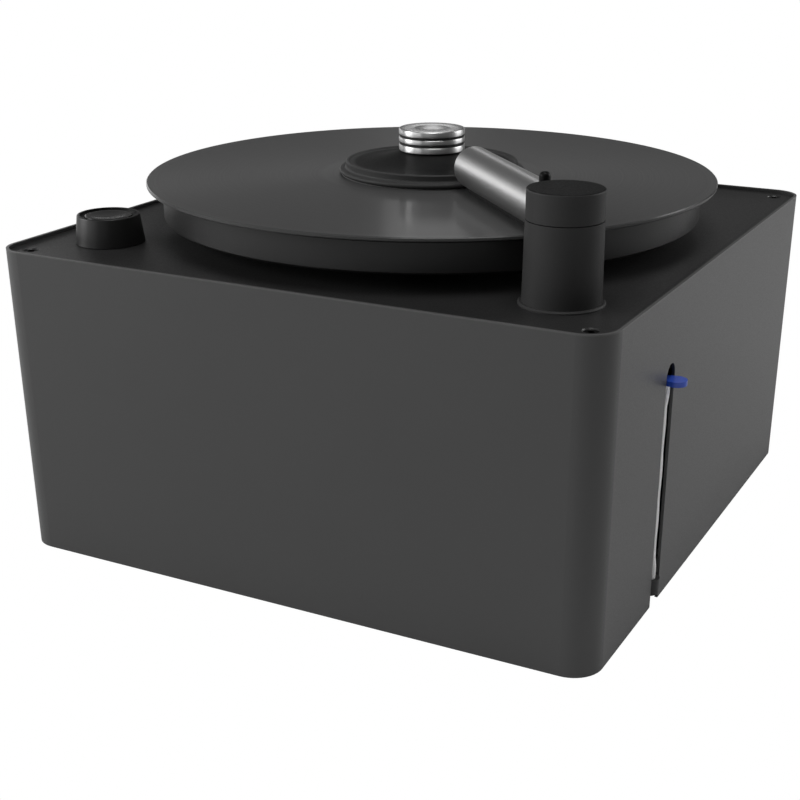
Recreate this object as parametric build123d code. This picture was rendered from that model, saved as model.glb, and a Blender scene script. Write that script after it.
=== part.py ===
"""Vacuum record cleaning machine with a suction arm, a screw-down label clamp and a drain hose.

Units are millimetres.  +Z is up, z = 0 is the plane the feet stand on, and the platter turns
about the Z axis.  The front of the machine faces -Y and the drain slot is in the right (+X) wall.
"""
from build123d import *
from math import atan2, cos, degrees, pi, radians, sin, sqrt, tan
import os

# ---------------------------------------------------------------- casing and plates
casing_width = 325.0
casing_depth = 325.0
casing_height = 161.0
casing_corner_radius = 15.0
casing_wall = 1.5
foot_drop = 4.0             # height of the casing's lower edge above the floor
panel_gap = 0.25            # play of a plate inside the casing
plate_recess = 1.8          # top plate below the casing's rim
plate_thickness = 3.0
base_recess = 3.0           # base plate above the casing's lower edge
base_thickness = 2.5
post_size = 21.0            # corner post, along each wall
post_relief = 1.0           # how much rounder the post is than the casing's corner
foot_radius = 12.0
foot_bevel = 1.0
foot_inset = 37.0           # foot centre from the casing's side
foot_recess_radius = 7.0
foot_recess_depth = 1.2
foot_screw_length = 7.0
vent_slot_length = 40.0
vent_slot_width = 4.0
vent_slot_count = 6
vent_slot_pitch = 9.0
vent_field_x = -60.0        # middle of the base plate's vent field
vent_field_y = -70.0

# ---------------------------------------------------------------- screws
screw_radius = 2.0
screw_head_radius = 4.0
screw_head_height = 2.2
screw_length = 12.0
screw_play = 0.05           # radial play in a tapped hole
corner_screw_inset = 13.0   # screw axis from the casing's side

# ---------------------------------------------------------------- record, platter and spindle
record_column_gap = 1.25    # record's edge from the tower's foot
record_overhang = 8.0       # record's edge beyond the platter's
record_thickness = 2.0
record_hole_radius = 3.62
record_lift = 24.8          # record's top above the casing's rim
mat_inset = 1.4             # mat's edge from the platter's
mat_thickness = 1.2
platter_lift = 5.9          # platter's lower edge above the casing's rim
platter_deck = 4.0
platter_skirt = 4.0
platter_edge_round = 1.0
platter_rib_count = 8
platter_rib_thickness = 3.0
platter_rib_depth = 8.0
hub_wall = 4.0
hub_depth = 6.0
spindle_pin_radius = 3.55
spindle_pin_height = 17.0   # pin's tip above the record
spindle_shaft_radius = 6.0
spindle_flange_radius = 20.0
spindle_flange_thickness = 5.0
spindle_end_radius = 5.0
spindle_end_drop = 2.0      # below the spindle gear
spindle_tip_chamfer = 1.0
hub_play = 0.3              # spindle flange inside the platter's hub ring
seat_play = 0.02            # radial play of a piece bonded in its seat
running_play = 0.05         # radial play of a shaft in its bearing
platter_screw_circle = 13.5
platter_screw_count = 3
platter_screw_length = 8.0

housing_radius = 16.0
housing_bottom_drop = 42.0  # bearing housing's lower end below the top plate
housing_rise = 11.5         # and its upper end above the top plate
housing_flange_radius = 34.0
housing_flange_thickness = 4.0
housing_screw_circle = 26.0
housing_screw_count = 4
bush_wall = 3.0
bush_length = 14.0

# ---------------------------------------------------------------- drive
gear_module = 1.0
gear_teeth = 72
pinion_teeth = 18
gear_thickness = 6.0
pinion_thickness = 8.0
gear_backlash = 0.12        # thinning of each tooth at the pitch circle
pressure_angle = 20.0
gear_gap = 4.0              # gear's top below the bearing housing
gear_web = 3.0
gear_rim = 4.0
gear_hub_radius = 11.0
gear_hole_count = 6
gear_hole_margin = 1.5
motor_plate_drop = 8.0      # motor plate's top below the spindle gear's underside
motor_plate_thickness = 3.0
motor_plate_half_depth = 34.0
spacer_radius = 5.0
spacer_half_pitch_y = 24.0
spacer_right_x = 40.0
spacer_left_x = -90.0
motor_plate_margin = 8.0    # plate's edge beyond the spacers' axes
gearhead_radius = 30.0
gearhead_height = 28.0
motor_radius = 26.0
motor_height = 44.0
motor_bevel = 2.0
motor_shaft_radius = 3.0
motor_shaft_depth = 12.0
shaft_hole_play = 1.0       # round a shaft that passes through a plate

# ---------------------------------------------------------------- record clamp
clamp_ring_inner = 40.0
clamp_ring_outer = 45.0
clamp_ring_thickness = 1.2
flange_radius = 49.3
flange_thickness = 2.4      # flange ends in a full round bead of this height
raised_radius = 45.8
raised_height = 6.8         # raised disc's top above the record
raised_edge = 0.5
raised_lip_width = 1.4
bowl_depth = 0.8
cone_radius = 15.6          # cone's top, below the knob
cone_waist_inset = 2.0      # cone's middle, inwards of a straight slope's
cone_waist_rise = 1.694     # and above the bowl's floor
knob_seat_height = 12.05    # knob's underside above the record
clamp_bore = 3.8
clamp_knob_radius = 17.46
knob_ring_heights = (3.2, 2.5, 3.0)     # polished rings, from below
knob_groove_heights = (1.35, 1.2)       # grooves between them
knob_groove_depth = 1.6
knob_groove_ring = 1.2                  # black ring lying in a groove, radial
knob_edge_round = 0.5
dish_radius = 9.4
dish_depth = 1.7
pin_tip_gap = 0.5           # knob's bore above the spindle's tip

# ---------------------------------------------------------------- suction arm tower
tower_side_inset = 39.3     # tower's axis from the casing's right side
knob_side_inset = 37.1      # control knob's axis from its left side
control_front_inset = 45.5  # both axes from its front
column_ring_radius = 19.5
column_ring_thickness = 1.2
column_foot_radius = 17.85
column_top_radius = 17.3
column_height = 37.0        # above the top plate
column_bore = 12.5
column_neck_radius = 14.0
column_neck_drop = 12.0     # neck's end below the top plate's underside
neck_length = 5.0           # length of the narrow bore above the top plate
column_hole_play = 0.1
nut_across_flats = 38.0
nut_thickness = 5.0
riser_radius = 10.25
riser_wall = 1.75
riser_in_neck = 11.0        # riser's lower end below the top plate
collar_height = 11.0
collar_rim_radius = 12.0    # collar's rim inside the seam, which carries the head
collar_radius_play = 0.1
spring_wire_radius = 0.75
spring_turns = 5
spring_end_gap = 0.1
seam_gap = 0.4
head_radius = 17.15
head_height = 13.2
head_edge_round = 0.8
head_floor = 2.4
head_roof = 3.3
chamber_radius = 13.5
top_screw_radius = 2.6
top_screw_height = 4.8      # above the tube's crest
top_screw_round = 2.08
top_screw_stem_radius = 1.4
top_screw_stem = 2.4
top_screw_offset = 24.6     # from the tower's axis, along the tube

arm_toe = 2.1               # arm's direction at rest, off the line to the spindle
arm_tip_gap = 0.5           # arm's tip from the clamp's flange
arm_tube_radius = 10.4
arm_tube_wall = 1.0
lip_gap = 0.3               # velvet above the record
lip_drop = 0.4              # velvet below the tube
lip_width = 3.0
lip_rise = 1.9
suction_slot_width = 4.0
slot_root_land = 1.0        # slot's near end from the spigot
slot_tip_land = 8.0         # slot's far end from the tip
root_gap = 0.45             # tube's root from the head
spigot_end = 28.0           # from the tower's axis
duct_width = 10.0
duct_height = 5.0
duct_rise = 0.5             # duct above the chamber's floor
end_cap_thickness = 1.5
end_cap_round = 0.6

# ---------------------------------------------------------------- control knob
knob_gap = 0.3              # knob above the top plate
knob_base_radius = 17.6
knob_top_radius = 15.8
knob_height = 14.4          # knob's top above the top plate
knob_edge = 0.5
knob_well_radius = 12.2
knob_well_depth = 6.6
knob_hollow_radius = 14.0
knob_hollow_depth = 4.9
knob_hub_radius = 7.0
button_play = 0.3
button_sink = 0.5           # button's top below the knob's rim
button_travel = 2.0
button_dish_radius = 7.1
button_dish_depth = 1.1
button_edge_round = 0.5
selector_shaft_radius = 4.0
button_stem_radius = 2.0
selector_body = 30.0
selector_body_height = 22.0
selector_neck_radius = 5.6
selector_neck_rise = 2.0
shaft_in_body = 14.0

# ---------------------------------------------------------------- waste tank and drain
tank_width = 88.0
tank_depth = 186.0
tank_side_gap = 13.0        # tank from the casing's right wall
tank_front_gap = 25.0       # tank from its front wall
tank_headroom = 52.7        # tank's rim below the top plate
tank_wall = 2.5
tank_corner_radius = 8.0
lid_thickness = 3.0
lid_lip = 4.0
lid_play = 0.3
hose_wall = 2.0
inlet_spigot_radius = 9.0
inlet_spigot_wall = 1.6
inlet_spigot_height = 12.0
hose_end_gap = 1.0
hose_grip = 5.0             # hose's length on the tower's neck
air_port_offset = 8.0       # air port to the right of the tank's middle
air_port_inset = 14.0       # air port from the tank's back
air_spigot_radius = 8.0
air_spigot_height = 10.0
air_hose_drop = 17.2        # air hose's run below the top plate
air_hose_bend = 17.0

slot_front_inset = 87.5     # slot's middle from the casing's front
slot_width = 12.0
slot_top = 125.0            # slot's top above the casing's lower edge
drain_hose_inset = 3.0      # hose's axis from the casing's right side
drain_hose_radius = 3.5
drain_hose_bore = 2.3
drain_hose_bottom = 17.5
drain_hose_drop = 10.2      # hose's upper end below the slot's crown
pivot_inset = 3.0           # elbow's pivot from the hose's axis
pivot_z = 13.5
elbow_radius = 5.0
elbow_bottom = 9.0
elbow_edge_round = 1.2
elbow_leg_radius = 4.0
elbow_leg_length = 9.0      # from the slot's middle
elbow_barb_length = 8.0
elbow_barb_bore = 1.2
elbow_spigot_radius = 2.9
elbow_spigot_length = 12.0
socket_gap = 0.5            # outlet's socket from the elbow's leg
socket_end_gap = 5.4        # socket's bottom from the spigot's end
outlet_pipe_radius = 3.2
outlet_end_wall = 1.2
outlet_passage = 1.4
base_notch_depth = 14.0
base_notch_half_width = 8.0
plug_stem = 4.0
plug_head_gap = 0.4
plug_head_thickness = 2.5
plug_head_radius = 3.9
plug_tab_reach = 2.9        # tab's middle outside the casing's wall
plug_tab_radius = 5.1

# ---------------------------------------------------------------- vacuum unit and exhaust
turbine_side_inset = 64.5   # turbine's axis from the casing's left side
turbine_back_inset = 74.5   # and from its back
turbine_gap = 2.2           # turbine's top below the drive's motor plate
mount_height = 4.5
mount_outer_inset = 4.0     # rubber mount's outer and inner edge inside the motor's
mount_inner_inset = 16.0
vacuum_motor_radius = 42.0
vacuum_motor_bevel = 4.0
turbine_radius = 56.0
turbine_height = 42.0
turbine_wall = 2.5
turbine_inlet_radius = 8.0
turbine_inlet_height = 10.0
exhaust_width = 50.0
exhaust_height = 30.0
impeller_radius = 46.0
impeller_height = 22.0
impeller_disc = 2.0
impeller_eye = 16.0
impeller_hub_radius = 8.0
blade_count = 9
blade_thickness = 1.6
blade_sweep = 55.0          # degrees from a blade's root to its tip
blade_root_radius = 7.2
blade_bow_radius = 26.68    # where a blade bows out
blade_bow_turn = 16.5
blade_tip_inset = 1.0
motor_spin_radius = 4.0
spin_shaft_depth = 30.0
grille_width = 66.0
grille_height = 52.0
grille_flange = 4.0
grille_flange_thickness = 1.5
grille_depth = 6.0
grille_frame = 2.5
slat_pitch = 6.4
slat_thickness = 1.6
slat_angle = 35.0
slat_root = 0.5             # slat's end inside the frame

# ---------------------------------------------------------------- mains inlet, power switch and electronics
inlet_side_inset = 50.5     # inlet's middle from the casing's right side
switch_pitch = 40.0         # switch's middle from the inlet's
rear_panel_z = 46.0
inlet_body_width = 27.0
inlet_body_height = 20.0
inlet_flange = 3.0
inlet_flange_thickness = 2.0
inlet_depth = 24.0
inlet_cavity_width = 23.0
inlet_cavity_height = 15.5
inlet_cavity_depth = 16.0
inlet_pin_length = 10.0
inlet_pin_width = 4.0
inlet_pin_thickness = 2.0
inlet_pin_pitch = 7.0
switch_body_width = 13.0
switch_body_height = 19.0
switch_flange = 1.5
switch_depth = 16.0
switch_wall = 1.5
rocker_play = 0.4
rocker_end_play = 1.0       # rocker's ends from the frame, room for its tilt
rocker_tilt = 9.0
rocker_depth = 4.5          # behind the pivot
rocker_back_half = 3.5      # half the length of its back
rocker_pivot_depth = 4.0    # pivot inside the flange's face
rocker_pivot_radius = 1.5
rocker_pivot_length = 1.0   # pin's length in the frame's wall
rocker_proud = 0.3
cutout_play = 0.2
board_side_inset = 52.5     # board's middle from the casing's left side
board_front_inset = 90.5    # and from its front
board_width = 70.0
board_depth = 84.0
board_thickness = 1.6
board_height = 12.0         # standoffs under the board
standoff_radius = 3.0
standoff_inset = 5.0
relay_width = 19.0
relay_depth = 15.0
relay_height = 15.0
relay_gap = 2.0
relay_edge_gap = 9.0        # relays from the board's back edge
relay_count = 3
capacitor_radius = 7.5
capacitor_height = 18.0
capacitor_gap = 4.0
capacitor_count = 3
transformer_x = 4.0
transformer_front_inset = 58.5          # transformer's middle from the casing's front
transformer_width = 56.0
transformer_depth = 40.0
transformer_height = 46.0
coil_overhang = 9.0
coil_half_width = 18.7
coil_inset = 7.7            # coil's lower and upper edge inside the core's
transformer_foot_thickness = 1.5
transformer_foot_reach = 10.0
transformer_foot_half_depth = 10.0

# ---------------------------------------------------------------- levels and places that follow
casing_bottom = foot_drop
casing_top = casing_bottom + casing_height
plate_top = casing_top - plate_recess
plate_bottom = plate_top - plate_thickness
base_bottom = casing_bottom + base_recess
base_top = base_bottom + base_thickness
half_width = casing_width / 2
half_depth = casing_depth / 2
inner_x = half_width - casing_wall
inner_y = half_depth - casing_wall
inner_corner_radius = casing_corner_radius - casing_wall
tower_x = half_width - tower_side_inset
knob_x = knob_side_inset - half_width
control_y = control_front_inset - half_depth
tower_distance = sqrt(tower_x ** 2 + control_y ** 2)

record_radius = tower_distance - column_foot_radius - record_column_gap
platter_radius = record_radius - record_overhang
mat_radius = platter_radius - mat_inset
record_top = casing_top + record_lift
mat_top = record_top - record_thickness
platter_top = mat_top - mat_thickness
platter_bottom = casing_top + platter_lift
deck_bottom = platter_top - platter_deck
flange_bottom = deck_bottom - spindle_flange_thickness
housing_top = plate_top + housing_rise
housing_bottom = plate_top - housing_bottom_drop
bush_outer = spindle_shaft_radius + bush_wall
gear_top = housing_bottom - gear_gap
gear_bottom = gear_top - gear_thickness
motor_plate_top = gear_bottom - motor_plate_drop
motor_plate_bottom = motor_plate_top - motor_plate_thickness
motor_x = -gear_module * (gear_teeth + pinion_teeth) / 2

column_top = plate_top + column_height
neck_top = plate_top + neck_length
head_bottom = column_top + seam_gap
head_top = head_bottom + head_height
arm_axis_z = record_top + lip_gap + lip_drop + arm_tube_radius
arm_bore = arm_tube_radius - arm_tube_wall
arm_angle = degrees(atan2(-control_y, -tower_x)) - arm_toe
spindle_along = tower_distance * cos(radians(arm_toe))
arm_reach = spindle_along - flange_radius - arm_tip_gap
suction_slot_start = spigot_end + slot_root_land
suction_slot_end = arm_reach - slot_tip_land

tank_bottom = base_top
tank_top = plate_bottom - tank_headroom
lid_top = tank_top + lid_thickness
tank_right = inner_x - tank_side_gap
tank_x = tank_right - tank_width / 2
tank_y = tank_front_gap - inner_y + tank_depth / 2
air_port_x = tank_x + air_port_offset
air_port_y = tank_y + tank_depth / 2 - air_port_inset
air_hose_level = plate_bottom - air_hose_drop

slot_y = slot_front_inset - half_depth
slot_crown = casing_bottom + slot_top
drain_hose_x = half_width - drain_hose_inset
drain_hose_top = slot_crown - drain_hose_drop
pivot_x = drain_hose_x - pivot_inset
elbow_leg_end = slot_y + elbow_leg_length
elbow_spigot_end = elbow_leg_end + elbow_spigot_length
socket_front = elbow_leg_end + socket_gap
socket_back = elbow_spigot_end + socket_end_gap
outlet_y = socket_back - outlet_passage
plug_tab_x = half_width + plug_tab_reach

turbine_x = turbine_side_inset - half_width
turbine_y = half_depth - turbine_back_inset
turbine_top = motor_plate_bottom - turbine_gap
turbine_bottom = turbine_top - turbine_height
grille_z = (turbine_bottom + turbine_top) / 2
inlet_x = half_width - inlet_side_inset
switch_x = inlet_x - switch_pitch
rear_face = half_depth + inlet_flange_thickness
board_x = board_side_inset - half_width
board_y = board_front_inset - half_depth
transformer_y = transformer_front_inset - half_depth
knob_top = plate_top + knob_height
well_floor = knob_top - knob_well_depth


# ---------------------------------------------------------------- shape helpers
def disc(radius, low, high, x=0.0, y=0.0):
    """Upright cylinder between two levels."""
    return Pos(x, y, low) * Cylinder(radius, high - low, align=(Align.CENTER, Align.CENTER, Align.MIN))


def sleeve(outer, inner, low, high, x=0.0, y=0.0):
    """Upright tube between two levels."""
    return disc(outer, low, high, x, y) - disc(inner, low - 1, high + 1, x, y)


def block(x_low, x_high, y_low, y_high, z_low, z_high):
    """Box between two corners."""
    box = Box(x_high - x_low, y_high - y_low, z_high - z_low, align=(Align.MIN,) * 3)
    return Pos(x_low, y_low, z_low) * box


def bar_along_x(radius, x_low, x_high, y, z):
    """Cylinder lying along X."""
    bar = Cylinder(radius, x_high - x_low, align=(Align.CENTER, Align.CENTER, Align.MIN))
    return Pos(x_low, y, z) * Rot(0, 90, 0) * bar


def bar_along_y(radius, y_low, y_high, x, z):
    """Cylinder lying along Y."""
    bar = Cylinder(radius, y_high - y_low, align=(Align.CENTER, Align.CENTER, Align.MIN))
    return Pos(x, y_low, z) * Rot(-90, 0, 0) * bar


def turned(profile, x=0.0, y=0.0):
    """Solid turned about an upright axis from (radius, level) corners."""
    face = Plane.XZ * make_face(Polyline(*profile, close=True))
    return Pos(x, y, 0) * revolve(face, Axis.Z)


def rounded_slab(width, depth, radius, low, high, x=0.0, y=0.0):
    """Rectangular slab with rounded upright corners."""
    return extrude(Pos(x, y, low) * RectangleRounded(width, depth, radius), high - low)


def corners(x, y):
    """The four mirror images of a point."""
    return [(side * x, end * y) for side in (-1, 1) for end in (-1, 1)]


def around(count, radius, start=0.0):
    """Points evenly spaced on a circle."""
    angles = [radians(start + 360.0 * index / count) for index in range(count)]
    return [(radius * cos(angle), radius * sin(angle)) for angle in angles]


def countersunk_screw(x, y, top, length=screw_length):
    """Flat-headed screw with its head level with a surface."""
    shank = screw_radius - screw_play
    return turned([(0, top), (screw_head_radius, top), (shank, top - screw_head_height),
                   (shank, top - length), (0, top - length)], x, y)


def countersunk_hole(x, y, top, depth):
    """Hole that seats a countersunk screw."""
    rim = screw_head_radius + screw_play
    return turned([(0, top), (rim, top), (screw_radius, top - screw_head_height),
                   (screw_radius, top - depth), (0, top - depth)], x, y)


def save(name, *solids):
    """Write one sub-part, made of one or more separate solids."""
    pieces = [solid for shape in solids for solid in shape.solids()]
    export_step(pieces[0] if len(pieces) == 1 else Compound(children=pieces), f"parts/{name}.step")


# ---------------------------------------------------------------- casing, plates and feet
post_x = inner_x - post_size / 2
post_y = inner_y - post_size / 2
corner_screw_x = half_width - corner_screw_inset
corner_screw_y = half_depth - corner_screw_inset
foot_x = half_width - foot_inset
foot_y = half_depth - foot_inset


def make_casing():
    outer = rounded_slab(casing_width, casing_depth, casing_corner_radius, casing_bottom, casing_top)
    inner = rounded_slab(2 * inner_x, 2 * inner_y, inner_corner_radius, casing_bottom - 1, casing_top + 1)
    casing = outer - inner
    slot_centre_z = slot_crown - slot_width / 2
    slot = block(inner_x - 1, half_width + 1, slot_y - slot_width / 2, slot_y + slot_width / 2,
                 casing_bottom - 1, slot_centre_z)
    slot += bar_along_x(slot_width / 2, inner_x - 1, half_width + 1, slot_y, slot_centre_z)
    casing -= slot
    openings = [(turbine_x, grille_z, grille_width, grille_height),
                (inlet_x, rear_panel_z, inlet_body_width, inlet_body_height),
                (switch_x, rear_panel_z, switch_body_width, switch_body_height)]
    for x, z, width, height in openings:
        half_w = width / 2 + cutout_play
        half_h = height / 2 + cutout_play
        casing -= block(x - half_w, x + half_w, inner_y - 1, half_depth + 1, z - half_h, z + half_h)
    return casing


def make_top_plate():
    plate = rounded_slab(2 * (inner_x - panel_gap), 2 * (inner_y - panel_gap),
                         inner_corner_radius - panel_gap, plate_bottom, plate_top)
    plate -= disc(housing_radius + column_hole_play, plate_bottom - 1, plate_top + 1)
    for radius, x in ((column_neck_radius, tower_x), (selector_neck_radius, knob_x)):
        plate -= disc(radius + column_hole_play, plate_bottom - 1, plate_top + 1, x, control_y)
    for x, y in corners(corner_screw_x, corner_screw_y) + spacer_places:
        plate -= countersunk_hole(x, y, plate_top, plate_thickness + 1)
    for x, y in housing_screw_places:
        plate -= disc(screw_radius, plate_bottom - 1, plate_top - 1, x, y)
    return plate


def make_base_plate():
    plate = rounded_slab(2 * (inner_x - panel_gap), 2 * (inner_y - panel_gap),
                         inner_corner_radius - panel_gap, base_bottom, base_top)
    plate -= block(inner_x - base_notch_depth, half_width, slot_y - base_notch_half_width,
                   slot_y + base_notch_half_width, base_bottom - 1, base_top + 1)
    for x, y in corners(corner_screw_x, corner_screw_y):
        plate -= disc(screw_radius, base_bottom - 1, base_top + 1, x, y)
    for x, y in corners(foot_x, foot_y):
        plate -= countersunk_hole(x, y, base_top, base_thickness + 1)
    for index in range(vent_slot_count):
        y = vent_field_y + (index - (vent_slot_count - 1) / 2) * vent_slot_pitch
        slot = Pos(vent_field_x, y, base_bottom - 1) * SlotOverall(vent_slot_length, vent_slot_width)
        plate -= extrude(slot, base_thickness + 2)
    return plate


def make_corner_posts():
    posts = []
    for side, end in corners(1, 1):
        x, y = side * post_x, end * post_y
        post = block(x - post_size / 2, x + post_size / 2, y - post_size / 2, y + post_size / 2,
                     base_top, plate_bottom)
        casing_corner = (side * half_width, end * half_depth, 0)
        outer_edge = post.edges().filter_by(Axis.Z).sort_by_distance(casing_corner)[0]
        post = fillet(outer_edge, inner_corner_radius + post_relief)
        screw_x, screw_y = side * corner_screw_x, end * corner_screw_y
        post -= disc(screw_radius, base_top - 1, base_top + screw_length, screw_x, screw_y)
        post -= disc(screw_radius, plate_bottom - screw_length, plate_bottom + 1, screw_x, screw_y)
        posts.append(post)
    return posts


def make_base_screws():
    screws = []
    for x, y in corners(corner_screw_x, corner_screw_y):
        head = disc(screw_head_radius, base_bottom - screw_head_height, base_bottom, x, y)
        shank_top = base_bottom + screw_length - screw_head_height
        shank = disc(screw_radius - screw_play, base_bottom, shank_top, x, y)
        screws.append(head + shank)
    return screws


def make_feet():
    feet = []
    for x, y in corners(foot_x, foot_y):
        foot = turned([(0, 0), (foot_radius - foot_bevel, 0), (foot_radius, foot_bevel),
                       (foot_radius, base_bottom), (0, base_bottom)], x, y)
        foot -= disc(foot_recess_radius, -1, foot_recess_depth, x, y)
        foot -= disc(screw_radius, base_top - foot_screw_length, base_bottom + 1, x, y)
        feet.append(foot)
    return feet


# ---------------------------------------------------------------- platter group
spacer_places = [(x, end * spacer_half_pitch_y) for x in (spacer_left_x, spacer_right_x) for end in (-1, 1)]
housing_screw_places = around(housing_screw_count, housing_screw_circle, 45.0)
platter_screw_places = around(platter_screw_count, platter_screw_circle, 90.0)


def make_platter():
    rim_inner = platter_radius - platter_skirt
    hub_inner = spindle_flange_radius + hub_play
    hub_outer = hub_inner + hub_wall
    bevel = platter_edge_round
    bore = spindle_pin_radius + running_play
    platter = turned([(bore, deck_bottom), (bore, platter_top), (platter_radius - bevel, platter_top),
                      (platter_radius, platter_top - bevel), (platter_radius, platter_bottom + bevel),
                      (platter_radius - bevel, platter_bottom), (rim_inner, platter_bottom),
                      (rim_inner, deck_bottom)])
    platter += sleeve(hub_outer, hub_inner, deck_bottom - hub_depth, deck_bottom)
    rib = block(hub_outer - 1, rim_inner + 1, -platter_rib_thickness / 2, platter_rib_thickness / 2,
                deck_bottom - platter_rib_depth, deck_bottom)
    for index in range(platter_rib_count):
        platter += Rot(0, 0, 360.0 * index / platter_rib_count) * rib
    for x, y in platter_screw_places:
        platter -= countersunk_hole(x, y, platter_top, platter_deck + 1)
    return platter


def make_record():
    edge = record_thickness / 4
    return turned([(record_hole_radius, mat_top), (record_hole_radius, record_top),
                   (record_radius - edge, record_top), (record_radius, record_top - edge),
                   (record_radius, mat_top + edge), (record_radius - edge, mat_top)])


def make_mat():
    return sleeve(mat_radius, record_hole_radius, platter_top, mat_top) - disc(
        platter_screw_circle + screw_head_radius, platter_top - 1, platter_top + mat_thickness / 4)


def make_spindle():
    end_bottom = gear_bottom - spindle_end_drop
    tip = record_top + spindle_pin_height
    spindle = turned([(0, end_bottom), (spindle_end_radius, end_bottom), (spindle_end_radius, gear_top),
                      (spindle_shaft_radius, gear_top), (spindle_shaft_radius, flange_bottom),
                      (spindle_flange_radius, flange_bottom), (spindle_flange_radius, deck_bottom),
                      (spindle_pin_radius, deck_bottom), (spindle_pin_radius, tip - spindle_tip_chamfer),
                      (spindle_pin_radius - spindle_tip_chamfer, tip), (0, tip)])
    for x, y in platter_screw_places:
        spindle -= disc(screw_radius, flange_bottom - 1, deck_bottom + 1, x, y)
    return spindle


def make_bearing_housing():
    bore = bush_outer + seat_play
    housing = sleeve(housing_radius, bore, housing_bottom, housing_top)
    housing += sleeve(housing_flange_radius, bore, plate_bottom - housing_flange_thickness, plate_bottom)
    for x, y in housing_screw_places:
        housing -= disc(screw_radius + column_hole_play, plate_bottom - housing_flange_thickness - 1,
                        plate_bottom + 1, x, y)
    return housing


def make_bushes():
    inner = spindle_shaft_radius + running_play
    return [sleeve(bush_outer, inner, flange_bottom - bush_length, flange_bottom),
            sleeve(bush_outer, inner, housing_bottom, housing_bottom + bush_length)]


def make_housing_screws():
    screws = []
    under = plate_bottom - housing_flange_thickness
    for x, y in housing_screw_places:
        head = disc(screw_head_radius, under - screw_head_height, under, x, y)
        shank = disc(screw_radius - screw_play, under, plate_bottom + plate_thickness / 2, x, y)
        screws.append(head + shank)
    return screws


# ---------------------------------------------------------------- drive
def involute_point(base, angle):
    """Point of an involute unrolled by an angle in radians."""
    return base * (cos(angle) + angle * sin(angle)), base * (sin(angle) - angle * cos(angle))


def gear_outline(teeth):
    """Face of a spur gear with involute flanks, one tooth centred on +X."""
    pitch = gear_module * teeth / 2
    base = pitch * cos(radians(pressure_angle))
    tip = pitch + gear_module
    root = pitch - 1.25 * gear_module
    start = max(base, root)
    half_tooth = (pi * gear_module / 2 - gear_backlash) / (2 * pitch)
    flank_at_pitch = tan(radians(pressure_angle)) - radians(pressure_angle)

    def flank(radius, centre, side):
        roll = sqrt(max((radius / base) ** 2 - 1, 0.0))
        x, y = involute_point(base, roll)
        turn = centre + side * (half_tooth + flank_at_pitch - atan2(y, x))
        return radius * cos(turn), radius * sin(turn)

    def foot(centre, side):
        x, y = flank(start, centre, side)
        return x * root / start, y * root / start

    edges = []
    for index in range(teeth):
        centre = 2 * pi * index / teeth
        rising = [flank(radius, centre, -1) for radius in (start, pitch, tip)]
        falling = [flank(radius, centre, 1) for radius in (tip, pitch, start)]
        if root < start:
            edges += [Line(foot(centre, -1), rising[0]), Line(falling[-1], foot(centre, 1))]
        edges += [ThreePointArc(*rising), Line(rising[-1], falling[0]), ThreePointArc(*falling)]
        edges.append(Line(foot(centre, 1), foot(centre + 2 * pi / teeth, -1)))
    return make_face(edges)


def make_spindle_gear():
    gear = extrude(Pos(0, 0, gear_bottom) * gear_outline(gear_teeth), gear_thickness)
    root = gear_module * (gear_teeth / 2 - 1.25)
    web_depth = (gear_thickness - gear_web) / 2
    for low in (gear_bottom, gear_top - web_depth):
        gear -= sleeve(root - gear_rim, gear_hub_radius, low, low + web_depth)
    hole_circle = (root - gear_rim + gear_hub_radius) / 2
    hole_radius = (root - gear_rim - gear_hub_radius) / 2 - gear_hole_margin
    for x, y in around(gear_hole_count, hole_circle):
        gear -= disc(hole_radius, gear_bottom - 1, gear_top + 1, x, y)
    return gear - disc(spindle_end_radius + seat_play, gear_bottom - 1, gear_top + 1)


def make_pinion():
    """Pinion on its shaft, with a gap facing the gear's tooth."""
    middle = (gear_bottom + gear_top) / 2
    half_step = Rot(0, 0, 180.0 / pinion_teeth)
    outline = Pos(motor_x, 0, middle - pinion_thickness / 2) * half_step * gear_outline(pinion_teeth)
    shaft = disc(motor_shaft_radius, motor_plate_bottom - motor_shaft_depth, middle, motor_x)
    return extrude(outline, pinion_thickness) + shaft


def make_motor_plate():
    x_low, x_high = spacer_left_x - motor_plate_margin, spacer_right_x + motor_plate_margin
    plate = rounded_slab(x_high - x_low, 2 * motor_plate_half_depth, motor_plate_margin,
                         motor_plate_bottom, motor_plate_top, (x_low + x_high) / 2)
    plate -= disc(motor_shaft_radius + shaft_hole_play, motor_plate_bottom - 1, motor_plate_top + 1,
                  motor_x)
    for x, y in spacer_places:
        plate -= disc(screw_radius, motor_plate_bottom - 1, motor_plate_top + 1, x, y)
    return plate


def make_spacers():
    spacers = []
    for x, y in spacer_places:
        spacer = disc(spacer_radius, motor_plate_top, plate_bottom, x, y)
        spacer -= disc(screw_radius, plate_bottom - screw_length, plate_bottom + 1, x, y)
        spacer -= disc(screw_radius, motor_plate_top - 1, motor_plate_top + screw_length, x, y)
        spacers.append(spacer)
    return spacers


def make_spacer_screws():
    """Countersunk screws through the top plate and pan-headed ones through the motor plate."""
    screws = []
    for x, y in spacer_places:
        screws.append(countersunk_screw(x, y, plate_top))
        head = disc(screw_head_radius, motor_plate_bottom - screw_head_height, motor_plate_bottom, x, y)
        shank_top = motor_plate_bottom + screw_length - screw_head_height
        screws.append(head + disc(screw_radius - screw_play, motor_plate_bottom, shank_top, x, y))
    return screws


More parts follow.
